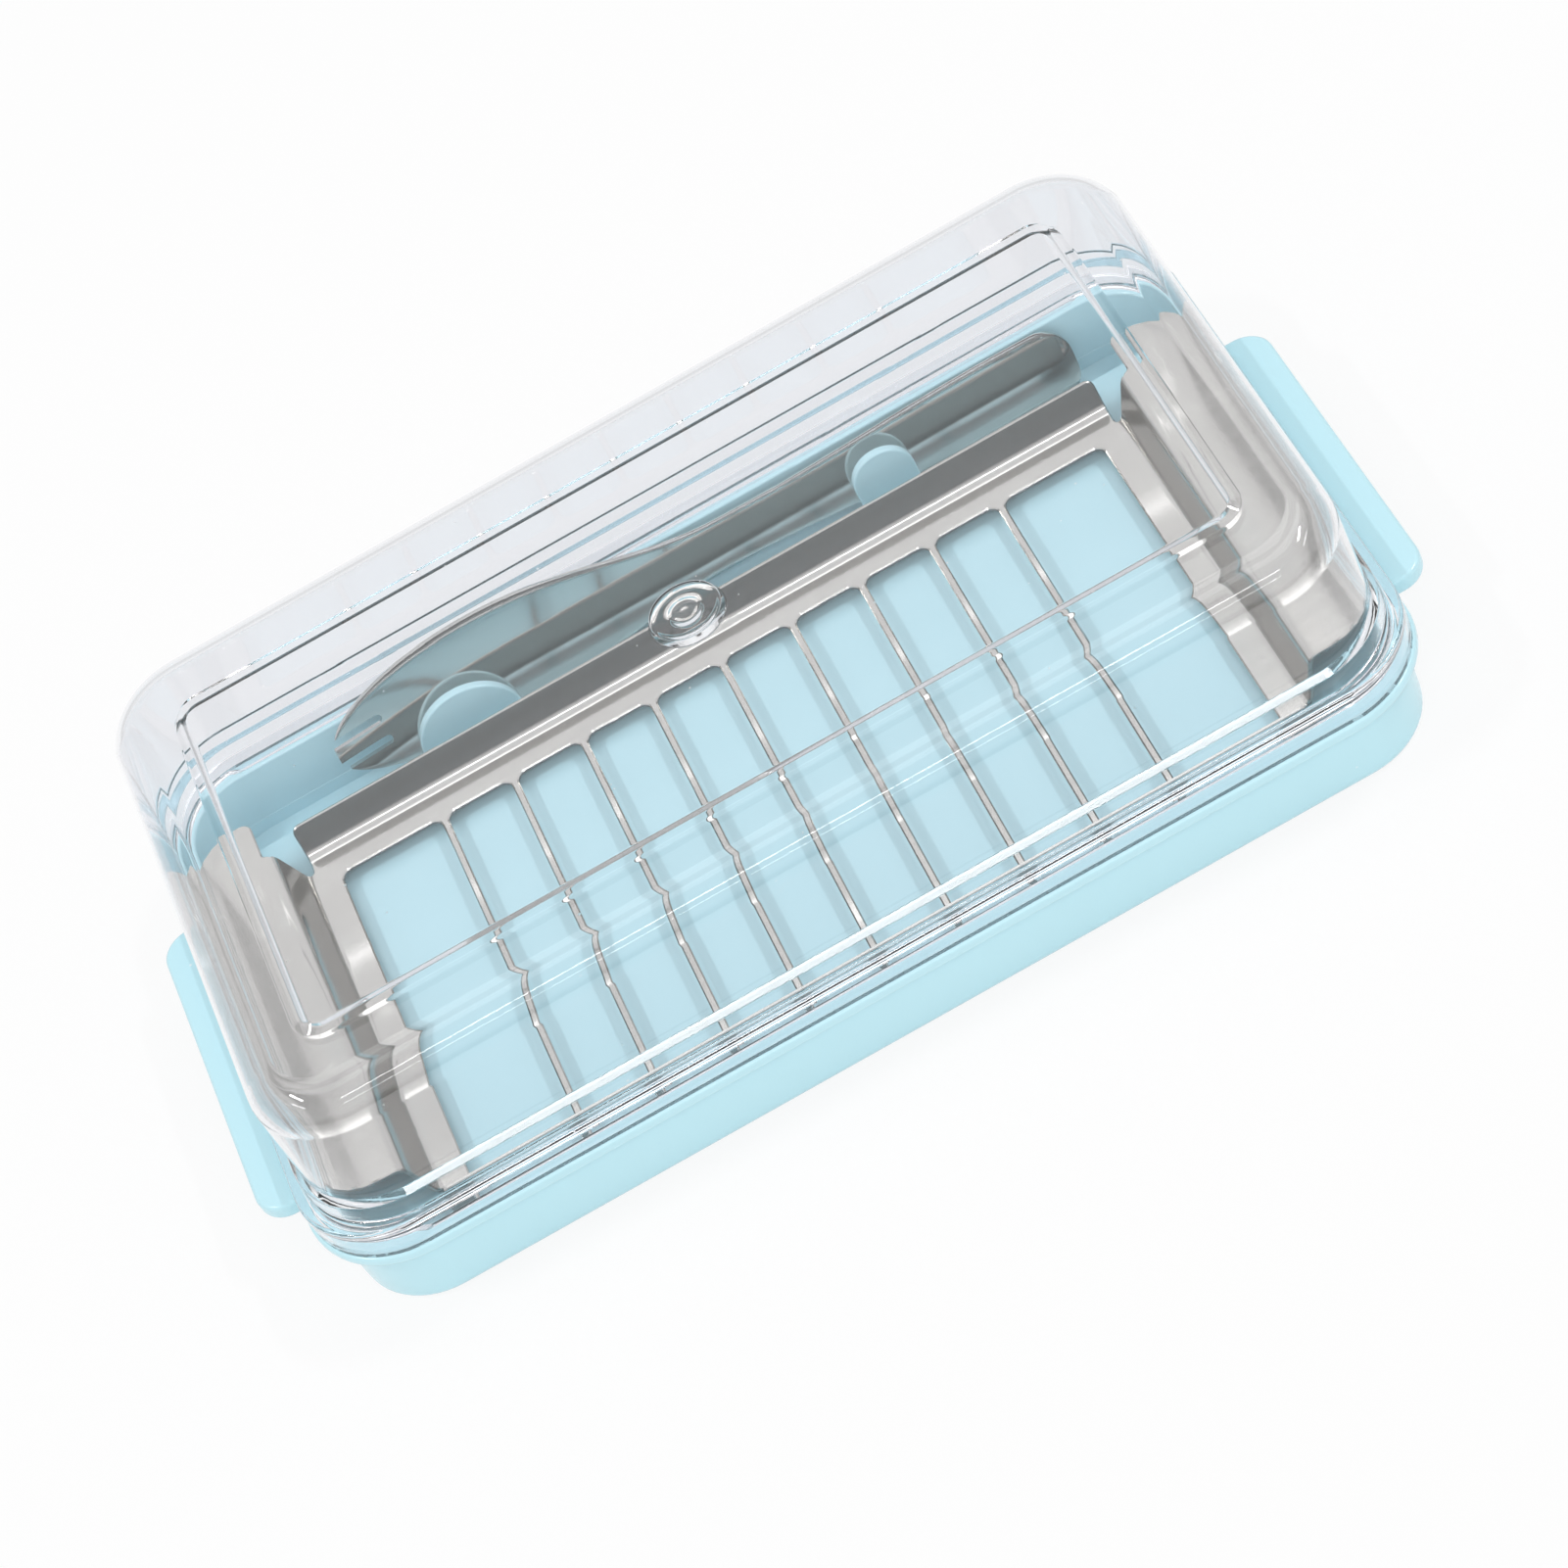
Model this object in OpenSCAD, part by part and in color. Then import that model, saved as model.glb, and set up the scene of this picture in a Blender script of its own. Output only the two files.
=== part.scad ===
// Butter keeper with a cutting grid: a shallow tray, a clear lid, a pressed steel grid that slices
// a block of butter, and a small serving fork that stands on its edge behind the butter.
// Millimetres, +Z up, origin at the middle of the footprint on the table, front towards -Y.

/* [Tray] */
// Length of the tray's rim, side to side
rim_l = 171; // [164:0.5:190]
// Depth of the tray's rim, front to back
rim_d = 103.8; // [100:0.2:112]
// Corner radius of the rim
rim_r = 14.7; // [13:0.1:18]
// Height of the rim's top face above the table
rim_h = 14; // [13.6:0.1:18]
// Thickness of the rim's lip
rim_t = 1.8; // [1.2:0.1:2.4]
// How far the rim's lip stands out past the tray's wall
rim_out = 2; // [1:0.1:3]
// Thickness of the tray's wall
tray_wall = 2.6; // [1.8:0.1:3]
// Corner radius inside the tray
inner_r = 10; // [7:0.5:12]
// Radius along the tray's lower edge
foot_r = 1.4; // [0.8:0.1:1.7]
// Height of the butter floor above the table
floor_h = 4.5; // [4:0.1:5]
// Thickness of the butter floor
floor_t = 2; // [1.2:0.1:2.4]
// Height of the fork channel's floor above the table
channel_h = 2.3; // [2:0.1:2.6]
// Thickness of the fork channel's floor
channel_t = 1.7; // [1.2:0.1:1.9]
// Width of the fork channel, front to back
channel_w = 5; // [4.8:0.1:6]

/* [Ears and fork tabs] */
// How far each ear stands out past the rim
ear_out = 6.5; // [5:0.5:10]
// Length of an ear, front to back
ear_l = 58.6; // [40:0.2:66]
// Thickness of an ear
ear_t = 2.6; // [2:0.1:3.4]
// Height of an ear's top face above the table
ear_h = 10.3; // [8:0.1:11]
// Corner radius of an ear
ear_r = 4.5; // [2:0.1:5]
// Width of the wide fork tab
wide_tab_w = 16.6; // [12:0.2:18]
// Height of the wide fork tab above the table
wide_tab_h = 13.2; // [12.9:0.1:16]
// Place of the wide fork tab, left of the middle
wide_tab_x = 37; // [34:0.5:44]
// Width of the narrow fork tab
narrow_tab_w = 9.8; // [7:0.2:12]
// Height of the narrow fork tab above the table
narrow_tab_h = 13.6; // [12:0.1:16]
// Place of the narrow fork tab, right of the middle
narrow_tab_x = 34.2; // [28:0.2:44]
// Thickness of both fork tabs
tab_t = 1.5; // [1.1:0.1:2]

/* [Lid] */
// Height of the lid's shoulder above the rim
lid_h = 29; // [27:0.5:36]
// Thickness of the lid's top
lid_top_t = 2; // [1.4:0.1:2.6]
// Thickness of the dome's wall
lid_wall = 1.8; // [1.2:0.1:2.1]
// Corner radius of the dome
dome_r = 14; // [11:0.5:16]
// Radius along the dome's upper edge
dome_edge_r = 6; // [4:0.1:7]
// How far the dome stands in from the skirt's outside
dome_in = 2.4; // [2.2:0.05:2.8]
// Height of the skirt that stands on the rim
skirt_h = 5; // [4.4:0.1:7]
// Thickness of the skirt and of the step above it
skirt_t = 1.9; // [1.4:0.1:2.1]
// Margin from the dome's end walls to the raised panel
panel_end_in = 11; // [8:0.2:16]
// Margin from the dome's front and rear walls to the raised panel
panel_side_in = 13; // [8:0.2:16]
// Corner radius of the raised panel
panel_r = 4.5; // [3:0.5:8]
// Height of the raised panel above the shoulder
panel_h = 0.85; // [0.4:0.05:1]
// Width of the panel's sloped border
panel_slope = 1.8; // [1:0.1:2.6]
// Radius of the round dimple in the middle of the panel
dimple_r = 5.6; // [4:0.1:8]
// Depth of the dimple
dimple_d = 1; // [0.6:0.05:1.2]
// Radius of the small moulding point in the dimple
gate_r = 1.5; // [1:0.1:2]
// Height of the moulding point above the dimple's bottom
gate_h = 0.4; // [0.2:0.05:0.5]

/* [Cutting grid] */
// Thickness of the steel sheet
sheet_t = 0.8; // [0.6:0.05:1]
// Inner radius of the bends
bend_r = 0.8; // [0.6:0.1:1.2]
// Height of the grid's upper face above the butter floor
grid_up = 2.5; // [2:0.1:3]
// Number of cutting bars
bar_count = 9; // [5:1:10]
// Distance between the cutting bars
bar_pitch = 11.6; // [9:0.1:12]
// Width of a cutting bar
bar_w = 1.1; // [0.8:0.1:2]
// Length of the window field, side to side
field_l = 127; // [122:0.5:128]
// Corner radius of the windows
window_r = 1.6; // [0.6:0.1:2]
// Width of the flat margin at each end of the window field
end_margin = 3.9; // [3:0.1:4.4]
// Width of the flat margin behind the window field
rear_margin = 6.6; // [5:0.1:8]
// Gap between the front flange and the tray's front wall
front_gap = 4; // [3:0.1:6]
// Gap between the rear flange and the fork channel
rear_gap = 8.9; // [7:0.1:12]
// Height of the front and rear flanges above the grid's upper face
flange_h = 6.5; // [6:0.1:9]
// Height of the strip along the top of the front flange
top_strip_h = 1.6; // [1.2:0.1:2]
// Length of a wing, front to back
wing_l = 74; // [64:0.5:78]
// Corner radius of a wing
wing_r = 9; // [6:0.5:10]
// Lean of the slope that rises to a wing
slope_lean = 72; // [65:1:80]
// How far the slope runs back past the window field
slope_back = 3.5; // [1:0.1:5]
// Clearance between a wing's end and the lid's skirt
wing_gap = 0.6; // [0.4:0.1:1.2]

/* [Serving fork] */
// Length of the fork from its tines to the handle's end
fork_l = 124; // [112:1:128]
// Width of the fork's head
head_w = 21; // [16:0.2:21.6]
// Length from the tines to the widest place of the head
head_front = 26.6; // [22:0.2:30]
// Length from the widest place of the head to the neck
head_back = 38; // [32:0.5:44]
// Width of the neck
neck_w = 7.8; // [6:0.2:9]
// Width of the handle near its end
handle_w = 12.4; // [10:0.2:14]
// Corner radius of the handle's end
handle_r = 4.6; // [2:0.2:4.8]
// Thickness of the fork's sheet
fork_t = 1; // [0.8:0.05:1.1]
// Depth of the bowl across the head
bowl_d = 2.6; // [1.8:0.1:2.8]
// Forward curl of the tines
tine_curl = 2.8; // [1.6:0.1:2.9]
// Forward bow of the handle's end
handle_bow = 1.5; // [0.5:0.1:1.8]
// Length of the slots between the tines
slot_l = 8; // [5:0.5:11]
// Width of the slots between the tines
slot_w = 1.8; // [1.4:0.1:2.4]
// Distance between the two slots
slot_pitch = 5.1; // [4.4:0.1:5.6]
// Clearance under the fork and behind it
fork_gap = 0.3; // [0.2:0.05:0.4]
// Place of the head's widest part, left of the middle
fork_x = 30; // [26:0.5:34]

/* [Hidden] */
$fn = 96;

steel = [0.78, 0.77, 0.75];
blue = [0.72, 0.88, 0.94];
clear = [0.86, 0.88, 0.92, 0.35];

tray_x = rim_l / 2 - rim_out;
tray_y = rim_d / 2 - rim_out;
inner_x = tray_x - tray_wall;
inner_y = tray_y - tray_wall;
channel_y = inner_y - channel_w;

dome_x = rim_l / 2 - dome_in;
dome_y = rim_d / 2 - dome_in;
step_top = rim_h + skirt_h;
shoulder = rim_h + lid_h;
lid_top = shoulder + panel_h;
dish_r = (dimple_r * dimple_r + dimple_d * dimple_d) / (2 * dimple_d);

grid_top = floor_h + grid_up;
grid_bottom = grid_top - sheet_t;
front_face = -inner_y + front_gap;
rear_face = channel_y - rear_gap;
turn_r = bend_r + sheet_t;
flat_front = front_face + turn_r;
flat_back = rear_face - turn_r;
field_back = rear_face - sheet_t - rear_margin;
flange_top = grid_top + flange_h;
strip_low = flange_top - top_strip_h;
plate_x = field_l / 2 + end_margin;
bar_span = (bar_count - 1) * bar_pitch / 2;

mid_r = bend_r + sheet_t / 2;
rise = rim_h - grid_bottom;
ramp = (rise - 2 * mid_r * (1 - cos(slope_lean))) / sin(slope_lean);
ramp_run = 2 * mid_r * sin(slope_lean) + ramp * cos(slope_lean);
wing_x0 = plate_x + ramp_run;
wing_x1 = rim_l / 2 - skirt_t - wing_gap;

head_half = head_w / 2;
tail = fork_l - head_front;
fork_z = channel_h + fork_gap + head_half;
fork_y = inner_y - fork_gap - fork_t;
fork_tilt = atan((head_half - handle_w / 2) / (tail - handle_r));
bowl_r = (head_half * head_half + bowl_d * bowl_d) / (2 * bowl_d);
curl_r = (head_front * head_front + tine_curl * tine_curl) / (2 * tine_curl);
handle_l = tail - head_back;
bow_r = (handle_l * handle_l + handle_bow * handle_bow) / (2 * handle_bow);

// A rectangle with round corners, half sizes x and y.
module round_rect(x, y, r) {
    square([2 * x, 2 * (y - r)], center = true);
    square([2 * (x - r), 2 * y], center = true);
    for (a = [-1, 1])
        for (b = [-1, 1])
            translate([a * (x - r), b * (y - r)])
            circle(r);
}

// An upright block with round corners.
module block(x, y, r, z0, z1) {
    translate([0, 0, z0])
    linear_extrude(z1 - z0)
    round_rect(x, y, r);
}

// A block with round corners whose edge follows a section, drawn from the corner's axis outwards.
module edged_block(x, y, r, z0, z1) {
    translate([r - x, r - y, z0])
    cube([2 * (x - r), 2 * (y - r), z1 - z0]);
    for (a = [0, 180])
        rotate([0, 0, a]) {
            translate([x - r, y - r, 0])
            rotate([90, 0, 0])
            linear_extrude(2 * (y - r))
            children();
            translate([r - x, y - r, 0])
            rotate([90, 0, 90])
            linear_extrude(2 * (x - r))
            children();
        }
    for (a = [0:3]) {
        u = a == 0 || a == 3 ? 1 : -1;
        v = a < 2 ? 1 : -1;
        translate([u * (x - r), v * (y - r), 0])
        rotate([0, 0, 90 * a])
        rotate_extrude(angle = 90)
        children();
    }
}

// A section with a round upper edge.
module round_edge(r, z0, z1, f) {
    translate([0, z0])
    square([r, z1 - f - z0]);
    translate([0, z0])
    square([r - f, z1 - z0]);
    translate([r - f, z1 - f])
    intersection() {
        circle(f);
        square([f, f]);
    }
}

module soft_block(x, y, r, z0, z1, f) {
    edged_block(x, y, r, z0, z1)
    round_edge(r, z0, z1, f);
}

// A flat ear along one end of the tray.
module ear() {
    reach = rim_l / 2 + ear_out;
    root = tray_x - tray_wall / 2;
    translate([0, 0, ear_h - ear_t])
    linear_extrude(ear_t) {
        translate([root, -ear_l / 2])
        square([reach - ear_r - root, ear_l]);
        translate([root, ear_r - ear_l / 2])
        square([reach - root, ear_l - 2 * ear_r]);
        for (b = [-1, 1])
            translate([reach - ear_r, b * (ear_l / 2 - ear_r)])
            circle(ear_r);
    }
}

// An upright tab with a round top that keeps the fork in its channel.
module fork_tab(x, w, top) {
    translate([x, channel_y, 0])
    rotate([90, 0, 0])
    linear_extrude(tab_t)
    intersection() {
        union() {
            translate([0, top - w / 2])
            circle(w / 2);
            translate([-w / 2, 0])
            square([w, top - w / 2]);
        }
        translate([-w, floor_h - floor_t / 2])
        square([2 * w, top]);
    }
}

module tray() {
    color(blue) {
        difference() {
            union() {
                block(rim_l / 2, rim_d / 2, rim_r, rim_h - rim_t, rim_h);
                mirror([0, 0, 1])
                soft_block(tray_x, tray_y, rim_r, rim_t / 2 - rim_h, 0, foot_r);
                ear();
                mirror([1, 0, 0])
                ear();
            }
            difference() {
                block(inner_x, inner_y, inner_r, floor_h, rim_h + 1);
                translate([-rim_l, channel_y, 0])
                cube([2 * rim_l, rim_d, channel_h]);
            }
            intersection() {
                block(inner_x, inner_y, inner_r, channel_h, rim_h + 1);
                translate([-rim_l, channel_y, 0])
                cube([2 * rim_l, rim_d, rim_h + 1]);
            }
            difference() {
                block(inner_x, inner_y, inner_r, -1, floor_h - floor_t);
                translate([-rim_l, channel_y - tray_wall, channel_h - channel_t])
                cube([2 * rim_l, rim_d, rim_h]);
            }
        }
        fork_tab(-wide_tab_x, wide_tab_w, wide_tab_h);
        fork_tab(narrow_tab_x, narrow_tab_w, narrow_tab_h);
    }
}

// The raised panel on the lid's shoulder, with a sloped border.
module panel() {
    x = dome_x - panel_end_in;
    y = dome_y - panel_side_in;
    low = shoulder - lid_top_t / 2;
    edged_block(x, y, panel_r, low, lid_top)
    polygon([[0, low], [panel_r, low], [panel_r, shoulder], [panel_r - panel_slope, lid_top],
        [0, lid_top]]);
}

module lid() {
    color(clear)
    difference() {
        union() {
            block(rim_l / 2, rim_d / 2, rim_r, rim_h, step_top);
            soft_block(dome_x, dome_y, dome_r, step_top - skirt_t, shoulder, dome_edge_r);
            panel();
        }
        block(rim_l / 2 - skirt_t, rim_d / 2 - skirt_t, rim_r - skirt_t, rim_h - 1, step_top - skirt_t);
        soft_block(dome_x - lid_wall, dome_y - lid_wall, dome_r - lid_wall, rim_h,
            shoulder - lid_top_t, dome_edge_r - lid_wall);
        difference() {
            translate([0, 0, lid_top - dimple_d + dish_r])
            sphere(dish_r);
            cylinder(h = lid_top - dimple_d + gate_h, r = gate_r);
        }
    }
}

// Points along an arc about a middle point.
function arc(x, y, r, from, to) =
    [for (i = [0:8]) [x + r * cos(from + (to - from) * i / 8), y + r * sin(from + (to - from) * i / 8)]];

// The sheet's square bend, from level at the left up to a flange at the right with its top at a height.
module flange_section(x, top) {
    z = grid_bottom + turn_r;
    polygon(concat(arc(x, z, turn_r, -90, 0), [[x + turn_r, top], [x + bend_r, top]],
        arc(x, z, bend_r, 0, -90)));
}

// The slope that rises to a wing, with a bend at its foot and another at its top.
module slope_section() {
    low = grid_bottom + turn_r;
    high = rim_h - bend_r;
    polygon(concat(arc(plate_x, low, turn_r, -90, slope_lean - 90),
        arc(wing_x0, high, bend_r, 90 + slope_lean, 90),
        arc(wing_x0, high, turn_r, 90, 90 + slope_lean),
        arc(plate_x, low, bend_r, slope_lean - 90, -90)));
}

// The windows between the bars, from a low to a high edge, in the plane of the sheet.
module windows(low, high) {
    middle = (low + high) / 2;
    half = (high - low) / 2;
    gap = (bar_pitch - bar_w) / 2;
    outer = (field_l / 2 - bar_span - bar_w / 2) / 2;
    for (i = [1:bar_count - 1])
        translate([(i - bar_count / 2) * bar_pitch, middle])
        round_rect(gap, half, window_r);
    for (a = [-1, 1])
        translate([a * (field_l / 2 - outer), middle])
        round_rect(outer, half, window_r);
}

// A stretch of the sheet's front edge that lies flat and turns up into the front flange.
module upturn(x, w) {
    translate([x - w / 2, 0, 0])
    rotate([90, 0, 90])
    linear_extrude(w)
    mirror([1, 0])
    flange_section(-flat_front, strip_low - window_r);
}

module cutting_bars() {
    back = field_back - window_r;
    color(steel)
    for (i = [0:bar_count - 1])
        translate([i * bar_pitch - bar_span - bar_w / 2, flat_front, grid_bottom])
        cube([bar_w, back - flat_front, sheet_t]);
}

module front_posts() {
    color(steel)
    for (i = [0:bar_count - 1])
        upturn(i * bar_pitch - bar_span, bar_w);
}

module grid_front_rail() {
    low = strip_low - window_r;
    color(steel)
    translate([0, front_face + sheet_t, 0])
    rotate([90, 0, 0])
    linear_extrude(sheet_t)
    difference() {
        translate([-plate_x, low])
        square([2 * plate_x, flange_top - low]);
        windows(grid_top - turn_r, strip_low);
    }
}

module grid_rear_rail() {
    low = field_back - window_r;
    color(steel) {
        translate([0, 0, grid_bottom])
        linear_extrude(sheet_t)
        difference() {
            translate([-plate_x, low])
            square([2 * plate_x, flat_back - low]);
            windows(front_face, field_back);
        }
        translate([-plate_x, 0, 0])
        rotate([90, 0, 90])
        linear_extrude(2 * plate_x)
        flange_section(flat_back, flange_top);
    }
}

// One end of the grid: a flat margin, a slope that rises to the rim and a wing that rests on it.
module wing() {
    margin_x = plate_x - end_margin;
    back = field_back - window_r;
    upturn(plate_x - end_margin / 2, end_margin);
    translate([margin_x, flat_front, grid_bottom])
    cube([end_margin, back - flat_front, sheet_t]);
    translate([0, field_back + slope_back, 0])
    rotate([90, 0, 0])
    linear_extrude(wing_l / 2 + field_back + slope_back)
    slope_section();
    translate([0, 0, rim_h])
    linear_extrude(sheet_t)
    intersection() {
        translate([wing_x0, -wing_l / 2])
        square([wing_x1 - wing_x0, wing_l]);
        translate([wing_x1 - wing_l, 0])
        round_rect(wing_l, wing_l / 2, wing_r);
    }
}

module grid_right_wing() {
    color(steel)
    wing();
}

module grid_left_wing() {
    color(steel)
    mirror([1, 0, 0])
    wing();
}

// Half the fork's width at a distance along it from the widest place of the head.
function half_width(s) =
    s < 0 ? head_half * sqrt(max(0, 1 - s * s / (head_front * head_front)))
    : s < head_back ? neck_w / 2 + (head_half - neck_w / 2) * pow(cos(90 * pow(s / head_back, 1.15)), 2)
    : s < tail - handle_r
    ? neck_w / 2 + (handle_w - neck_w) / 2 * pow(sin(90 * (s - head_back) / (tail - handle_r - head_back)), 2)
    : handle_w / 2 - handle_r + sqrt(max(0, handle_r * handle_r - pow(s - tail + handle_r, 2)));

module fork_outline() {
    last = tail - handle_r;
    tip = -head_front + slot_w / 4;
    stops = [tip, for (s = [-floor(head_front):2:last - 1]) s, for (a = [0:10:90]) last + handle_r * sin(a)];
    upper = [for (s = stops) [s, half_width(s)]];
    lower = [for (i = [len(stops) - 1:-1:0]) [stops[i], -half_width(stops[i])]];
    difference() {
        polygon(concat(upper, lower));
        for (b = [-1, 1])
            translate([slot_l - head_front - slot_w / 2, b * slot_pitch / 2]) {
                circle(slot_w / 2);
                translate([-slot_l - 1, -slot_w / 2])
                square([slot_l + 1, slot_w]);
            }
    }
}

// The fork's sheet across its width, concave towards the front.
module fork_section() {
    translate([-bowl_r, 0])
    intersection() {
        difference() {
            circle(bowl_r + fork_t);
            circle(bowl_r);
        }
        translate([bowl_r / 2, -head_w])
        square([bowl_r, 2 * head_w]);
    }
}

// The fork's sheet along its length: curled at the tines, straight to the neck, then bowed.
module fork_sheet() {
    translate([0, -curl_r, 0])
    rotate([0, 0, 90])
    rotate_extrude(angle = asin(min(1, (head_front + 2) / curl_r)), $fn = 720)
    translate([curl_r, 0])
    fork_section();
    rotate([90, 0, 90])
    linear_extrude(head_back)
    fork_section();
    translate([head_back, -bow_r, 0])
    rotate([0, 0, 90])
    mirror([0, 1, 0])
    rotate_extrude(angle = asin(min(1, (handle_l + 2) / bow_r)), $fn = 1440)
    translate([bow_r, 0])
    fork_section();
}

module serving_fork() {
    color(steel)
    translate([-fork_x, fork_y, fork_z])
    rotate([0, fork_tilt, 0])
    intersection() {
        translate([0, 2 * bowl_d, 0])
        rotate([90, 0, 0])
        linear_extrude(6 * bowl_d)
        fork_outline();
        fork_sheet();
    }
}

tray();
lid();
cutting_bars();
front_posts();
grid_front_rail();
grid_rear_rail();
grid_left_wing();
grid_right_wing();
serving_fork();
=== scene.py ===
import bpy
import bmesh
from math import atan, cos, pi, radians, sin, sqrt
from mathutils import Matrix, Vector


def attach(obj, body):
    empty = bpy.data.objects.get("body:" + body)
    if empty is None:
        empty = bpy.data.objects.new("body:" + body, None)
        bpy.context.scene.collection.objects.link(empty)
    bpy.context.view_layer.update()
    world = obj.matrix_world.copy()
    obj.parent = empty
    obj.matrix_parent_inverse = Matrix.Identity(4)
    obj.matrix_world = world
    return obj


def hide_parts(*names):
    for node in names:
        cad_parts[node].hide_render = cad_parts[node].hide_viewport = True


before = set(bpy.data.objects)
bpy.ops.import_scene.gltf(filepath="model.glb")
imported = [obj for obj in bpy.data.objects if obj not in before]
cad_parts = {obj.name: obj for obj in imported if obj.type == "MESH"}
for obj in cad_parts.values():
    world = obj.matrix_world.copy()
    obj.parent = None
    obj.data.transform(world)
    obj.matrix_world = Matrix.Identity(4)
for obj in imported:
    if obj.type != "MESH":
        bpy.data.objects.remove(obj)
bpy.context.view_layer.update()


# Handling marks: what use leaves on every piece, whatever it is made of.
# Hair-fine scratches, a slow smudging of the gloss, and a few specks of dust.
def socket_of(tree, name, side, kind, value=None):
    made = tree.interface.new_socket(name=name, in_out=side, socket_type=kind)
    if value is not None:
        made.default_value = value
    return made


def put(tree, kind, **values):
    """Adds a node; names with a leading i_ are inputs by number, others its own settings."""
    made = tree.nodes.new(kind)
    for key, value in values.items():
        if key.startswith("i_"):
            target = made.inputs[int(key[2:])]
            if isinstance(value, bpy.types.NodeSocket):
                tree.links.new(value, target)
            else:
                target.default_value = value
        else:
            setattr(made, key, value)
    return made


marks = bpy.data.node_groups.new("handling marks", "ShaderNodeTree")
socket_of(marks, "Vector", "INPUT", "NodeSocketVector")
socket_of(marks, "Scratch Scale", "INPUT", "NodeSocketFloat", 120.0)
socket_of(marks, "Speck Scale", "INPUT", "NodeSocketFloat", 260.0)
for name in ("Scratches", "Smudge", "Specks"):
    socket_of(marks, name, "OUTPUT", "NodeSocketFloat")
inlet = put(marks, "NodeGroupInput")
outlet = put(marks, "NodeGroupOutput")
lean = put(marks, "ShaderNodeMapping", i_0=inlet.outputs["Vector"], i_2=(0.3, 0.5, 0.9),
           i_3=(1.0, 0.07, 0.6))
warp = put(marks, "ShaderNodeTexNoise", i_0=inlet.outputs["Vector"], i_2=30.0, i_3=2.0)
bent = put(marks, "ShaderNodeMixRGB", i_0=0.006, i_1=lean.outputs[0], i_2=warp.outputs[1])
cracks = put(marks, "ShaderNodeTexVoronoi", feature="DISTANCE_TO_EDGE", i_0=bent.outputs[0],
             i_2=inlet.outputs["Scratch Scale"])
thin = put(marks, "ShaderNodeMapRange", i_0=cracks.outputs[0], i_1=0.0, i_2=0.012, i_3=1.0, i_4=0.0)
patch = put(marks, "ShaderNodeTexNoise", i_0=inlet.outputs["Vector"], i_2=45.0, i_3=3.0)
some = put(marks, "ShaderNodeMapRange", i_0=patch.outputs[0], i_1=0.56, i_2=0.68)
both = put(marks, "ShaderNodeMath", operation="MULTIPLY", i_0=thin.outputs[0], i_1=some.outputs[0])
marks.links.new(both.outputs[0], outlet.inputs["Scratches"])
cloud = put(marks, "ShaderNodeTexNoise", i_0=inlet.outputs["Vector"], i_2=22.0, i_3=4.0)
slow = put(marks, "ShaderNodeMapRange", i_0=cloud.outputs[0], i_1=0.35, i_2=0.7)
marks.links.new(slow.outputs[0], outlet.inputs["Smudge"])
dots = put(marks, "ShaderNodeTexVoronoi", i_0=inlet.outputs["Vector"], i_2=inlet.outputs["Speck Scale"])
small = put(marks, "ShaderNodeMapRange", i_0=dots.outputs[0], i_1=0.02, i_2=0.07, i_3=1.0, i_4=0.0)
parted = put(marks, "ShaderNodeSeparateColor", i_0=dots.outputs[1])
rare = put(marks, "ShaderNodeMath", operation="GREATER_THAN", i_0=parted.outputs[0], i_1=0.86)
seen = put(marks, "ShaderNodeMath", operation="MULTIPLY", i_0=small.outputs[0], i_1=rare.outputs[0])
marks.links.new(seen.outputs[0], outlet.inputs["Specks"])


# The tray: one shell of light blue moulded plastic with a lip round its rim, a flat ear at each
# end, and two round-topped tabs that keep the fork in its channel along the rear wall.
rim_x, rim_y, rim_r = 0.0855, 0.0519, 0.0147
rim_z, floor_z, channel_z, channel_y = 0.014, 0.0045, 0.0023, 0.0416
wall_in, wall_t, foot_r, rim_edge, recess = 0.0048, 0.0026, 0.0014, 0.0005, 0.0019
ear_root, ear_x, ear_y, ear_low, ear_t = 0.0825, 0.092, 0.0293, 0.0077, 0.0026
tab_y, tab_foot, tab_t = 0.0423, 0.0016, 0.0015


def ring(bm, x, y, r, z):
    """An outline with round corners at a height; its edges are returned."""
    known = set(bm.faces)
    spots = [bm.verts.new((a * x, b * y, z)) for a, b in ((-1, -1), (1, -1), (1, 1), (-1, 1))]
    bm.faces.new(spots)
    bmesh.ops.bevel(bm, geom=spots, offset=r, offset_type="OFFSET", segments=14, profile=0.5,
                    affect="VERTICES", material=-1)
    face = [f for f in bm.faces if f not in known][0]
    edges = list(face.edges)
    bmesh.ops.delete(bm, geom=[face], context="FACES_ONLY")
    return edges


def skin(bm, outlines):
    """Draws a wall from each outline to the next one; returns its first and its last edges."""
    first = edges = ring(bm, *outlines[0])
    for (x0, y0, r0, _), (x, y, r, z) in zip(outlines, outlines[1:]):
        new = bmesh.ops.extrude_edge_only(bm, edges=edges)["geom"]
        spots = {g for g in new if isinstance(g, bmesh.types.BMVert)}
        edges = [g for g in new if isinstance(g, bmesh.types.BMEdge) and set(g.verts) <= spots]
        for v in spots:
            a, b = (1 if v.co.x > 0 else -1), (1 if v.co.y > 0 else -1)
            way = ((v.co.x - a * (x0 - r0)) / r0, (v.co.y - b * (y0 - r0)) / r0)
            v.co = (a * (x - r) + way[0] * r, b * (y - r) + way[1] * r, z)
    return first, edges


def quarter(x, z, r, start, turn, steps):
    """Points of a quarter round about (x, z), as inward distance and height."""
    return [(x + r * cos(radians(start + turn * i / steps)), z + r * sin(radians(start + turn * i / steps)))
            for i in range(steps + 1)]


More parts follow.
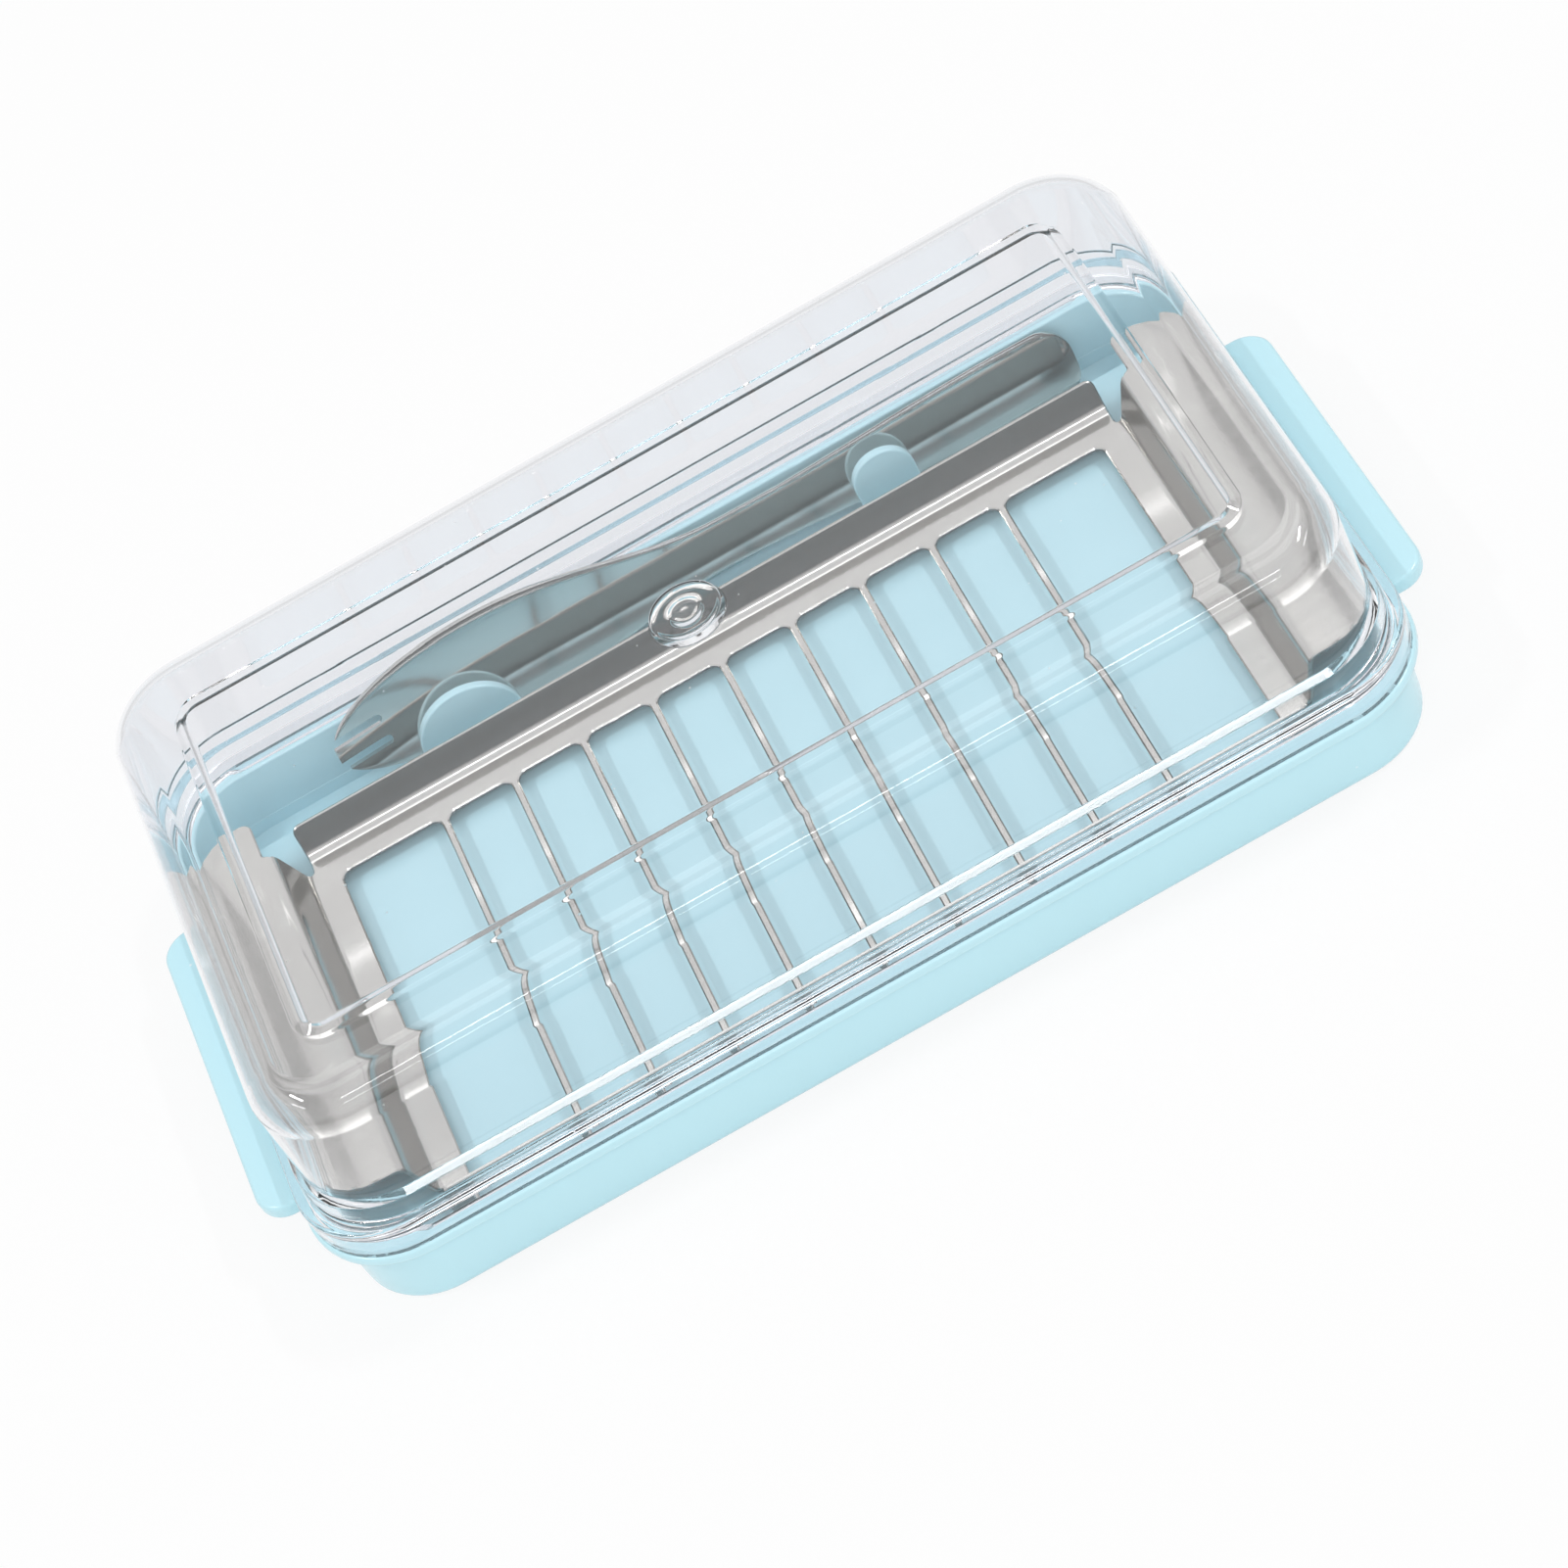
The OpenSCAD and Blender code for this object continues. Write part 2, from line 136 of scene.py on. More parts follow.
def shown(bm, name, sharp=40):
    """Turns a finished bmesh into an object with smooth faces and sharp creases."""
    mesh = bpy.data.meshes.new(name)
    bm.to_mesh(mesh)
    bm.free()
    mesh.polygons.foreach_set("use_smooth", [True] * len(mesh.polygons))
    mesh.set_sharp_from_angle(angle=radians(sharp))
    piece = bpy.data.objects.new(name, mesh)
    bpy.context.scene.collection.objects.link(piece)
    return piece


def evened(piece):
    """Keeps flat faces flat where they meet rounded edges."""
    firm = piece.modifiers.new("even shading", "WEIGHTED_NORMAL")
    firm.keep_sharp = True
    firm.weight = 80


# The section, as inward distance from the rim's outline and height: foot, wall, lip, inner wall.
shell = bmesh.new()
profile = [(wall_in, 0.0006), (wall_in, 0.0002), (wall_in - 0.0002, 0.0)]
profile += quarter(wall_t + foot_r, foot_r, foot_r, -90, -90, 5)
profile += [(0.0021, 0.0118)] + quarter(0.0016, 0.0117, 0.0005, 180, -90, 3)
profile += quarter(0.0006, 0.0128, 0.0006, -90, -90, 3)
profile += quarter(rim_edge, rim_z - rim_edge, rim_edge, 180, -90, 4)
profile += quarter(0.0041, rim_z - rim_edge, rim_edge, 90, -90, 4)
profile += quarter(wall_in, floor_z + 0.0001, 0.0001, 180, 90, 2)
under_edge, floor_edge = skin(shell, [(rim_x - a, rim_y - a, rim_r - a, z) for a, z in profile])
floor_face = bmesh.ops.contextual_create(shell, geom=floor_edge)["faces"][0]
under_face = bmesh.ops.contextual_create(shell, geom=under_edge)["faces"][0]
bmesh.ops.recalc_face_normals(shell, faces=shell.faces)


def split_at(bm, face, y):
    """Cuts a face across at y and returns its rear and its front part."""
    cut = bmesh.ops.bisect_plane(bm, geom=[face] + list(face.edges) + list(face.verts), dist=1e-7,
                                 plane_co=(0, y, 0), plane_no=(0, 1, 0))
    parts = [g for g in cut["geom"] if isinstance(g, bmesh.types.BMFace)]
    parts.sort(key=lambda f: f.calc_center_median().y)
    return parts[-1], parts[0]


def sunk(bm, face, z):
    """Pushes a face straight up or down by z."""
    out = bmesh.ops.extrude_face_region(bm, geom=[face], use_keep_orig=True)["geom"]
    bmesh.ops.translate(bm, vec=(0, 0, z), verts=[v for v in out if isinstance(v, bmesh.types.BMVert)])
    bmesh.ops.delete(bm, geom=[face], context="FACES_ONLY")


rear, front = split_at(shell, floor_face, channel_y)
sunk(shell, rear, channel_z - floor_z)
rear, front = split_at(shell, under_face, channel_y - wall_t)
sunk(shell, front, recess)
# Only the channel's upper edge is eased, so that the floor ends in a soft line.
near = 1e-6
lip = [e for e in shell.edges if e.is_manifold
       and all(abs(v.co.y - channel_y) < near and v.co.z > floor_z - near for v in e.verts)]
bmesh.ops.bevel(shell, geom=lip, offset=0.0004, offset_type="OFFSET", segments=3, profile=0.5,
                affect="EDGES", material=-1)
bmesh.ops.recalc_face_normals(shell, faces=shell.faces)


def plate(bm, spots, rounds, push, edge):
    """A flat plate from its corners, with some corners rounded, pushed thick and its edges eased."""
    part = bmesh.new()
    made = [part.verts.new(s) for s in spots]
    part.faces.new(made)
    for picked, r in rounds:
        bmesh.ops.bevel(part, geom=[made[i] for i in picked], offset=r, offset_type="OFFSET", segments=14,
                        profile=0.5, affect="VERTICES", material=-1)
    out = bmesh.ops.extrude_face_region(part, geom=part.faces[:])["geom"]
    bmesh.ops.translate(part, vec=push, verts=[v for v in out if isinstance(v, bmesh.types.BMVert)])
    bmesh.ops.recalc_face_normals(part, faces=part.faces)
    crease = [e for e in part.edges if e.is_manifold and e.calc_face_angle(0) > radians(60)]
    bmesh.ops.bevel(part, geom=crease, offset=edge, offset_type="OFFSET", segments=3, profile=0.5,
                    affect="EDGES", material=-1)
    held = bpy.data.meshes.new("plate")
    part.to_mesh(held)
    part.free()
    bm.from_mesh(held)
    bpy.data.meshes.remove(held)


# The ears, then the wide and the narrow tab: place, width and height of each tab.
for side in (-1, 1):
    plate(shell, [(side * ear_root, -ear_y, ear_low), (side * ear_x, -ear_y, ear_low),
                  (side * ear_x, ear_y, ear_low), (side * ear_root, ear_y, ear_low)],
          [((1, 2), 0.0045)], (0, 0, ear_t), 0.0006)
for x, w, top in ((-0.037, 0.0166, 0.0132), (0.0342, 0.0098, 0.0136)):
    plate(shell, [(x - w / 2, tab_y, tab_foot), (x + w / 2, tab_y, tab_foot),
                  (x + w / 2, tab_y, top), (x - w / 2, tab_y, top)],
          [((2, 3), w / 2 - 0.00005)], (0, -tab_t, 0), 0.00035)
tray = shown(shell, "blue_tray")
evened(tray)


def finish_of(piece, name):
    """Gives a piece a new material; returns its tree, its coordinates and its handling marks."""
    made = bpy.data.materials.new(name)
    made.use_nodes = True
    made.node_tree.nodes.clear()
    place = put(made.node_tree, "ShaderNodeTexCoord")
    worn = put(made.node_tree, "ShaderNodeGroup", node_tree=marks)
    made.node_tree.links.new(place.outputs["Object"], worn.inputs["Vector"])
    piece.data.materials.clear()
    piece.data.materials.append(made)
    return made.node_tree, place, worn


def surface_of(tree, settings):
    """Adds a Principled surface; a setting is a node to link or a constant for that input."""
    made = put(tree, "ShaderNodeBsdfPrincipled")
    for name, value in settings.items():
        if isinstance(value, bpy.types.Node):
            tree.links.new(value.outputs[0], made.inputs[name])
        else:
            made.inputs[name].default_value = value
    return made


blue_tree, place, worn = finish_of(tray, "light blue moulded plastic")
drift = put(blue_tree, "ShaderNodeTexNoise", i_0=place.outputs["Object"], i_2=14.0, i_3=3.0)
body = put(blue_tree, "ShaderNodeMixRGB", i_0=drift.outputs[0], i_1=(0.525, 0.80, 0.875, 1),
           i_2=(0.55, 0.82, 0.895, 1))
pale = put(blue_tree, "ShaderNodeMixRGB", i_0=worn.outputs["Specks"], i_1=body.outputs[0],
           i_2=(0.85, 0.93, 0.96, 1))
gloss = put(blue_tree, "ShaderNodeMapRange", i_0=worn.outputs["Smudge"], i_3=0.15, i_4=0.20)
grain = put(blue_tree, "ShaderNodeTexNoise", i_0=place.outputs["Object"], i_2=2600.0, i_3=2.0)
heights = put(blue_tree, "ShaderNodeMath", operation="MULTIPLY_ADD", i_0=worn.outputs["Scratches"],
              i_1=-0.6, i_2=grain.outputs[0])
bump = put(blue_tree, "ShaderNodeBump", i_0=0.05, i_1=0.0001, i_3=heights.outputs[0])
plastic = surface_of(blue_tree, {"Base Color": pale, "Roughness": gloss, "Normal": bump, "IOR": 1.5})
put(blue_tree, "ShaderNodeOutputMaterial", i_0=plastic.outputs[0])
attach(tray, "tray")
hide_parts("tray")


# The cutting grid: one sheet of bright rolled stainless steel, pierced with ten windows so that nine
# thin bars are left, then folded up at the front and the rear and out to a resting wing at each end.
sheet_t = 0.0008
grid_z = 0.0062
flat_front, flat_back, flat_end = -0.0417, 0.0306, 0.0671
bar_gap, bar_half, bars, field_x, window_r = 0.0116, 0.00055, 9, 0.0635, 0.0016
turn = 0.0012 * pi / 2
rear_a, lean_a = radians(65), radians(72)
rear_bow = 0.0023 * rear_a
wing_r = 0.0016
wing_x, wing_y, slope_y = 0.083, 0.037, 0.0285
rise = rim_z - grid_z
ramp = (rise - 2 * wing_r * (1 - cos(lean_a))) / sin(lean_a)
bow = wing_r * lean_a
strip_low = flat_front - turn - 0.0041
front_end = flat_front - turn - 0.0057
rear_end = flat_back + rear_bow + 0.0042
field_back = 0.026
slope_end = flat_end + 2 * bow + ramp
wing_end = slope_end + wing_x - (flat_end + 2 * wing_r * sin(lean_a) + ramp * cos(lean_a))

# The flat blank's right half, as x, y and corner radius; the left half is its mirror image.
steel_sheet = bmesh.new()
half = [(flat_end, front_end, 0.0012), (flat_end, -wing_y, 0.0008), (wing_end, -wing_y, 0.009),
        (wing_end, wing_y, 0.009), (slope_end, wing_y, 0.0016), (slope_end, slope_y, 0.001),
        (flat_end, slope_y, 0.0008), (flat_end, rear_end, 0.0012)]
corners = half + [(-x, y, r) for x, y, r in reversed(half)]
made = [steel_sheet.verts.new((x, y, 0)) for x, y, r in corners]
steel_sheet.faces.new(made)
for r in sorted({r for x, y, r in corners}):
    picked = [v for v, c in zip(made, corners) if c[2] == r]
    bmesh.ops.bevel(steel_sheet, geom=picked, offset=r, offset_type="OFFSET", segments=6, profile=0.5,
                    affect="VERTICES", material=-1)
centres = [(i - bars // 2) * bar_gap for i in range(bars)]
spans = [(-field_x, centres[0] - bar_half)]
spans += [(a + bar_half, b - bar_half) for a, b in zip(centres, centres[1:])]
spans += [(centres[-1] + bar_half, field_x)]
for left, right in spans:
    spots = [steel_sheet.verts.new(p) for p in ((left, strip_low, 0), (right, strip_low, 0),
                                                (right, field_back, 0), (left, field_back, 0))]
    steel_sheet.faces.new(spots)
    bmesh.ops.bevel(steel_sheet, geom=spots, offset=window_r, offset_type="OFFSET", segments=6, profile=0.5,
                    affect="VERTICES", material=-1)
bmesh.ops.delete(steel_sheet, geom=steel_sheet.faces[:], context="FACES_ONLY")
bmesh.ops.triangle_fill(steel_sheet, use_beauty=True, edges=steel_sheet.edges[:])


def sliced(bm, axis, start, stop, steps):
    """Cuts the sheet along evenly spaced lines so that it can bend there."""
    for i in range(steps + 1):
        co, no = [0, 0, 0], [0, 0, 0]
        co[axis], no[axis] = start + (stop - start) * i / steps, 1
        bmesh.ops.bisect_plane(bm, geom=bm.faces[:] + bm.edges[:] + bm.verts[:], dist=1e-7,
                               plane_co=co, plane_no=no)


sliced(steel_sheet, 1, flat_front, flat_front - turn, 6)
sliced(steel_sheet, 1, flat_back, flat_back + rear_bow, 9)
for side in (-1, 1):
    sliced(steel_sheet, 0, side * flat_end, side * (flat_end + bow), 6)
    sliced(steel_sheet, 0, side * (slope_end - bow), side * slope_end, 6)
bmesh.ops.recalc_face_normals(steel_sheet, faces=steel_sheet.faces)
if steel_sheet.faces[:][0].normal.z < 0:
    bmesh.ops.reverse_faces(steel_sheet, faces=steel_sheet.faces)
eased = 0.0002
upper = steel_sheet.faces[:]
out = bmesh.ops.extrude_face_region(steel_sheet, geom=upper, use_keep_orig=True)["geom"]
lower = [f for f in out if isinstance(f, bmesh.types.BMFace)]
bmesh.ops.translate(steel_sheet, vec=(0, 0, sheet_t - eased),
                    verts=[v for v in out if isinstance(v, bmesh.types.BMVert)])
bmesh.ops.translate(steel_sheet, vec=(0, 0, eased), verts=list({v for f in upper for v in f.verts}))
bmesh.ops.recalc_face_normals(steel_sheet, faces=steel_sheet.faces)
for faces in (upper, lower):
    bmesh.ops.inset_region(steel_sheet, faces=faces, thickness=eased, depth=eased, use_boundary=True,
                           use_even_offset=True)


def folded(u, h, bends):
    """Where a point u past the flat and h above the sheet's underside lands after its bends."""
    x, z, way = 0.0, sheet_t / 2, 0.0
    for length, angle in bends:
        go = min(max(u, 0.0), length)
        part = angle * go / length
        if angle:
            r = length / angle
            x += r * (sin(way + part) - sin(way))
            z += r * (cos(way) - cos(way + part))
        else:
            x += go * cos(way)
            z += go * sin(way)
        way += part
        u -= length
        if u <= 0:
            break
    return x - (h - sheet_t / 2) * sin(way), z + (h - sheet_t / 2) * cos(way)


for v in steel_sheet.verts:
    x, y, h = v.co
    side = 1 if x > 0 else -1
    if abs(x) > flat_end + 1e-5:
        bends = [(bow, lean_a), (ramp, 0), (bow, -lean_a), (1, 0)]
        run, z = folded(abs(x) - flat_end, h, bends)
        v.co = (side * (flat_end + run), y, grid_z + z)
    elif y > flat_back:
        run, z = folded(y - flat_back, h, [(rear_bow, rear_a), (1, 0)])
        v.co = (x, flat_back + run, grid_z + z)
    elif y < flat_front:
        run, z = folded(flat_front - y, h, [(turn, pi / 2), (1, 0)])
        v.co = (x, flat_front - run, grid_z + z)
    else:
        v.co = (x, y, grid_z + h)
grid = shown(steel_sheet, "cutting_grid")
evened(grid)

steel_tree, place, worn = finish_of(grid, "bright rolled stainless steel")
rolled = put(steel_tree, "ShaderNodeMapping", i_0=place.outputs["Object"], i_3=(12.0, 700.0, 400.0))
lines = put(steel_tree, "ShaderNodeTexNoise", i_0=rolled.outputs[0], i_2=1.0, i_3=2.0)
sheen = put(steel_tree, "ShaderNodeMixRGB", i_0=worn.outputs["Smudge"], i_1=(0.64, 0.62, 0.585, 1),
            i_2=(0.69, 0.67, 0.63, 1))
# Painted reflection: steep faces are coloured darker, as if mirroring the dark low part of the room.
where = put(steel_tree, "ShaderNodeSeparateXYZ", i_0=place.outputs["Object"])
faced = put(steel_tree, "ShaderNodeSeparateXYZ", i_0=place.outputs["Normal"])
upright = put(steel_tree, "ShaderNodeMath", operation="ABSOLUTE", i_0=faced.outputs[2])
walls = put(steel_tree, "ShaderNodeMapRange", i_0=upright.outputs[0], i_1=0.15, i_2=0.6, i_3=1.0, i_4=0.0)
# The low cut walls are darker still: partly the duller punched edge, partly painted shade.
low = put(steel_tree, "ShaderNodeMath", operation="LESS_THAN", i_0=where.outputs[2], i_1=0.00702)
cut = put(steel_tree, "ShaderNodeMath", operation="MULTIPLY", i_0=walls.outputs[0], i_1=low.outputs[0])
steep_painted_dark = put(steel_tree, "ShaderNodeMapRange", i_0=faced.outputs[2], i_1=0.4, i_2=0.75, i_3=0.75, i_4=0.0)
painted_dark_reflection = put(steel_tree, "ShaderNodeMixRGB", i_0=steep_painted_dark.outputs[0], i_1=sheen.outputs[0],
            i_2=(0.24, 0.236, 0.228, 1))
tone = put(steel_tree, "ShaderNodeMixRGB", i_0=cut.outputs[0], i_1=painted_dark_reflection.outputs[0],
           i_2=(0.13, 0.135, 0.14, 1))
rough = put(steel_tree, "ShaderNodeMapRange", i_0=lines.outputs[0], i_1=0.3, i_2=0.7, i_3=0.08, i_4=0.12)
rougher = put(steel_tree, "ShaderNodeMath", operation="MULTIPLY_ADD", i_0=worn.outputs["Smudge"], i_1=0.03,
              i_2=rough.outputs[0])
cuts = put(steel_tree, "ShaderNodeMath", operation="MULTIPLY_ADD", i_0=worn.outputs["Scratches"], i_1=-1.0,
           i_2=lines.outputs[0])
bump = put(steel_tree, "ShaderNodeBump", i_0=0.008, i_1=0.0001, i_3=cuts.outputs[0])
metal = surface_of(steel_tree, {"Metallic": 1.0, "Base Color": tone, "Roughness": rougher, "Normal": bump})
put(steel_tree, "ShaderNodeOutputMaterial", i_0=metal.outputs[0])
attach(grid, "grid")
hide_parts("cutting_bars", "front_posts", "grid_front_rail", "grid_rear_rail", "grid_left_wing",
            "grid_right_wing")


# The serving fork: a nearly flat, polished steel spoon shape with two slots that leave three tines.
# It stands on its long edge in the channel and leans back, with its tip curled to the front.
fork_t, head_half, head_front, head_back, fork_tail = 0.001, 0.0089, 0.0266, 0.038, 0.0974
handle_r, handle_half, neck_half = 0.0046, 0.006, 0.0038
bowl_d, tine_curl, handle_bow, curl_from = 0.0001, 0.0034, 0.0005, 0.006
slot_y, slot_half, slot_depth, lean_back = 0.0019, 0.00078, 0.0088, radians(-15.5)
bowl_r = (head_half ** 2 + bowl_d ** 2) / (2 * bowl_d)
last = fork_tail - handle_r


def half_width(at):
    """Half the fork's width, at a distance along it from the widest place of its head."""
    if at < 0:
        return head_half * sqrt(max(0.0, 1 - (at / head_front) ** 2))
    if at < head_back:
        return neck_half + (head_half - neck_half) * cos(pi / 2 * (at / head_back) ** 1.15) ** 2
    if at < last:
        along = (at - head_back) / (last - head_back)
        return neck_half + (handle_half - neck_half) * sin(pi / 2 * along) ** 2
    return handle_half - handle_r + sqrt(max(0.0, handle_r ** 2 - (at - last) ** 2))


utensil = bmesh.new()
# A share of the rows lies on the round head, and past crowd they draw together at the round end.
rows, columns = 150, 14
head_share, head_sweep, crowd = 0.22, radians(79.5), last - 0.006
bmesh.ops.create_grid(utensil, x_segments=rows, y_segments=columns, size=1.0)
for v in utensil.verts:
    k = (v.co.x + 1) / 2
    if k < head_share:
        at = -head_front * sin(head_sweep * (1 - k / head_share))
    else:
        at = fork_tail * (k - head_share) / (1 - head_share)
    if at > crowd:
        at = crowd + (fork_tail - crowd) * sin(pi / 2 * (at - crowd) / (fork_tail - crowd)) ** 0.8
    wide = v.co.y * max(half_width(at), 0.0006)
    v.co = (at, 0.0, wide)
out = bmesh.ops.extrude_face_region(utensil, geom=utensil.faces[:], use_keep_orig=True)["geom"]
bmesh.ops.translate(utensil, vec=(0, fork_t, 0),
                    verts=[v for v in out if isinstance(v, bmesh.types.BMVert)])
bmesh.ops.recalc_face_normals(utensil, faces=utensil.faces)
crease = [e for e in utensil.edges if e.is_manifold and e.calc_face_angle(0) > radians(60)]
bmesh.ops.bevel(utensil, geom=crease, offset=0.00018, offset_type="OFFSET", segments=3, profile=0.5,
                affect="EDGES", material=-1, clamp_overlap=True)
bmesh.ops.remove_doubles(utensil, verts=utensil.verts, dist=1e-6)
fork = shown(utensil, "serving_fork_steel", 60)
slots = bmesh.new()
for side in (-1, 1):
    below, over, end = side * slot_y - slot_half, side * slot_y + slot_half, slot_depth - head_front
    plate(slots, [(-0.029, -0.004, below), (end, -0.004, below),
                  (end, -0.004, over), (-0.029, -0.004, over)],
          [((1, 2), 0.00076)], (0, 0.008, 0), 0.00001)
cutter = shown(slots, "slot_cutter")
cutting = fork.modifiers.new("slots", "BOOLEAN")
cutting.operation = "DIFFERENCE"
cutting.solver = "EXACT"
cutting.object = cutter
bpy.context.view_layer.update()
cut_mesh = bpy.data.meshes.new_from_object(fork.evaluated_get(bpy.context.evaluated_depsgraph_get()))
fork.modifiers.clear()
fork.data = cut_mesh
bpy.data.objects.remove(cutter)
tilt = atan((head_half - handle_half) / last)
lifted = bmesh.new()
lifted.from_mesh(cut_mesh)
curl_r = ((head_front + curl_from) ** 2 + tine_curl ** 2) / (2 * tine_curl)
grip = fork_tail - head_back
bow_r = (grip ** 2 + handle_bow ** 2) / (2 * handle_bow)
for v in lifted.verts:
    at, deep, wide = v.co
    dip = bowl_r - sqrt(max(0.0, bowl_r ** 2 - wide ** 2))
    if at < curl_from:
        dip -= curl_r - sqrt(curl_r ** 2 - (at - curl_from) ** 2)
    elif at > head_back:
        dip += bow_r - sqrt(bow_r ** 2 - (at - head_back) ** 2)
    v.co = (at, deep + dip, wide)
bmesh.ops.rotate(lifted, cent=(0, 0, 0), matrix=Matrix.Rotation(tilt, 3, "Y"), verts=lifted.verts)
bmesh.ops.rotate(lifted, cent=(0, 0, 0), matrix=Matrix.Rotation(lean_back, 3, "X"), verts=lifted.verts)
drop = channel_z + 0.0003 - min(v.co.z for v in lifted.verts)
reach = min(v.co.y for v in lifted.verts if v.co.x > 0)
bmesh.ops.translate(lifted, vec=(-0.03, 0.0417 - reach, drop), verts=lifted.verts)
lifted.to_mesh(cut_mesh)
lifted.free()
cut_mesh.polygons.foreach_set("use_smooth", [True] * len(cut_mesh.polygons))
cut_mesh.set_sharp_from_angle(angle=radians(50))

polish_tree, place, worn = finish_of(fork, "polished stainless steel")
worn.inputs["Scratch Scale"].default_value = 160.0
drawn = put(polish_tree, "ShaderNodeMapping", i_0=place.outputs["Object"], i_3=(60.0, 900.0, 1500.0))
lines = put(polish_tree, "ShaderNodeTexNoise", i_0=drawn.outputs[0], i_2=1.0, i_3=3.0)
tone = put(polish_tree, "ShaderNodeMixRGB", i_0=worn.outputs["Smudge"], i_1=(0.62, 0.62, 0.60, 1),
           i_2=(0.68, 0.67, 0.65, 1))
rough = put(polish_tree, "ShaderNodeMapRange", i_0=worn.outputs["Smudge"], i_3=0.05, i_4=0.09)
cuts = put(polish_tree, "ShaderNodeMath", operation="MULTIPLY_ADD", i_0=worn.outputs["Scratches"], i_1=-1.5,
           i_2=lines.outputs[0])
bump = put(polish_tree, "ShaderNodeBump", i_0=0.02, i_1=0.0001, i_3=cuts.outputs[0])
metal = surface_of(polish_tree, {"Metallic": 1.0, "Base Color": tone, "Roughness": rough, "Normal": bump})
put(polish_tree, "ShaderNodeOutputMaterial", i_0=metal.outputs[0])
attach(fork, "spork")
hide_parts("serving_fork")


# The lid: a clear moulded dome whose hollow foot, a skirt with an inner lip, stands on the tray's
# rim. On top it has a raised panel with a sloped border, and in the middle a round dimple where the
# plastic was let into the mould.
# Each outline is half a length, half a depth, a corner radius and a height.
dome = bmesh.new()
step_z, shoulder_z, panel_z, ceiling_z = 0.019, 0.043, 0.04385, 0.041
panel_x, panel_y, panel_r = 0.0721, 0.0365, 0.0046
room_x, room_y, hollow_z = 0.0813, 0.0477, step_z - 0.0019
bulge_half, bulge_deep = 0.0057, 0.0009
bulge_r = (bulge_half ** 2 + bulge_deep ** 2) / (2 * bulge_deep)
under = [(r, r, r, ceiling_z - 0.0002 + bulge_r - sqrt(bulge_r ** 2 - r ** 2))
         for r in (0.0006, 0.0014, 0.0022, 0.003, 0.0038, 0.0045, 0.0051, 0.0055, bulge_half)]
under += [(0.0058, 0.0058, 0.0058, ceiling_z + 0.00085)]
inside = under + [(panel_x - a, panel_y - a, panel_r - a, ceiling_z + z) for a, z in
                  ((0.0025, 0.00085), (0.0021, 0.00081), (0.0007, 0.00006), (0.0003, 0.0))]
inside += [(room_x - a, room_y - a, 0.0122 - a, z) for a, z in
           quarter(0.0044, ceiling_z - 0.0042, 0.0042, 90, 90, 8)]
inside += [(room_x, room_y, 0.0123, rim_z + 0.0012), (0.0815, 0.0479, 0.0123, rim_z + 0.001)]
inside += [(0.0825, 0.0489, 0.0123, rim_z + 0.001), (0.0827, 0.0491, 0.0123, rim_z + 0.0012)]
inside += [(0.0828, 0.0492, 0.0125, hollow_z - 0.0002), (0.083, 0.0494, 0.0125, hollow_z)]
inside += [(0.0834, 0.0498, 0.0125, hollow_z), (0.0836, 0.05, 0.0128, hollow_z - 0.0002)]
inside += [(0.0836, 0.05, 0.0128, rim_z + 0.0002), (0.0838, 0.0502, 0.013, rim_z)]
skirt = quarter(0.0001, rim_z + 0.0001, 0.0001, -90, -90, 2)
skirt += quarter(0.0006, step_z - 0.0006, 0.0006, 180, -90, 4)
outside = [(0.0851 - a, 0.0515 - a, 0.0143 - a, z) for a, z in skirt]
wall = quarter(-0.0004, step_z + 0.0004, 0.0004, -90, 90, 3)
wall += quarter(0.0002, step_z + 0.0031, 0.0002, 180, -45, 2)
wall += quarter(0.0008, step_z + 0.0041, -0.0002, 135, 45, 2)
wall += quarter(0.007, shoulder_z - 0.006, 0.006, 180, -90, 12)
outside += [(0.0832 - a, 0.0498 - a, 0.0142 - a, z) for a, z in wall]
slope = [(0.0, shoulder_z), (0.0003, shoulder_z + 0.00006), (0.0015, panel_z - 0.00006), (0.0018, panel_z)]
border = [(panel_x - a, panel_y - a, panel_r - a, z) for a, z in slope]
dish = [(r, r, r, panel_z + z) for r, z in
        ((0.0054, 0.0), (0.0053, -0.00004), (0.0052, -0.0002), (0.005, -0.00024), (0.0048, -0.0002),
         (0.0044, -0.00017), (0.004, -0.0002), (0.0034, -0.00024), (0.0029, -0.00026), (0.0026, -0.00024),
         (0.0024, -0.00012), (0.0022, -0.00002), (0.0018, -0.00006), (0.0012, -0.00016), (0.0006, -0.0001))]
ceiling, gate = skin(dome, inside + outside + border + dish)
lip_down, lip_x, rear_shift = 0.0009, 0.0705, 0.0012
for v in dome.verts:
    if v.co.z < rim_z + 0.0014 and 0.0476 < abs(v.co.y) < 0.0492 and abs(v.co.x) < lip_x:
        v.co.z -= lip_down
    at_border = -1e-6 < v.co.z - shoulder_z < 0.0002 or -1e-6 < v.co.z - ceiling_z < 0.0002
    if at_border and 0.03 < v.co.y < 0.0366:
        v.co.y -= rear_shift
bmesh.ops.contextual_create(dome, geom=ceiling)
bmesh.ops.contextual_create(dome, geom=gate)
bmesh.ops.remove_doubles(dome, verts=dome.verts, dist=1e-7)
bmesh.ops.recalc_face_normals(dome, faces=dome.faces)
lid = shown(dome, "clear_lid")
evened(lid)

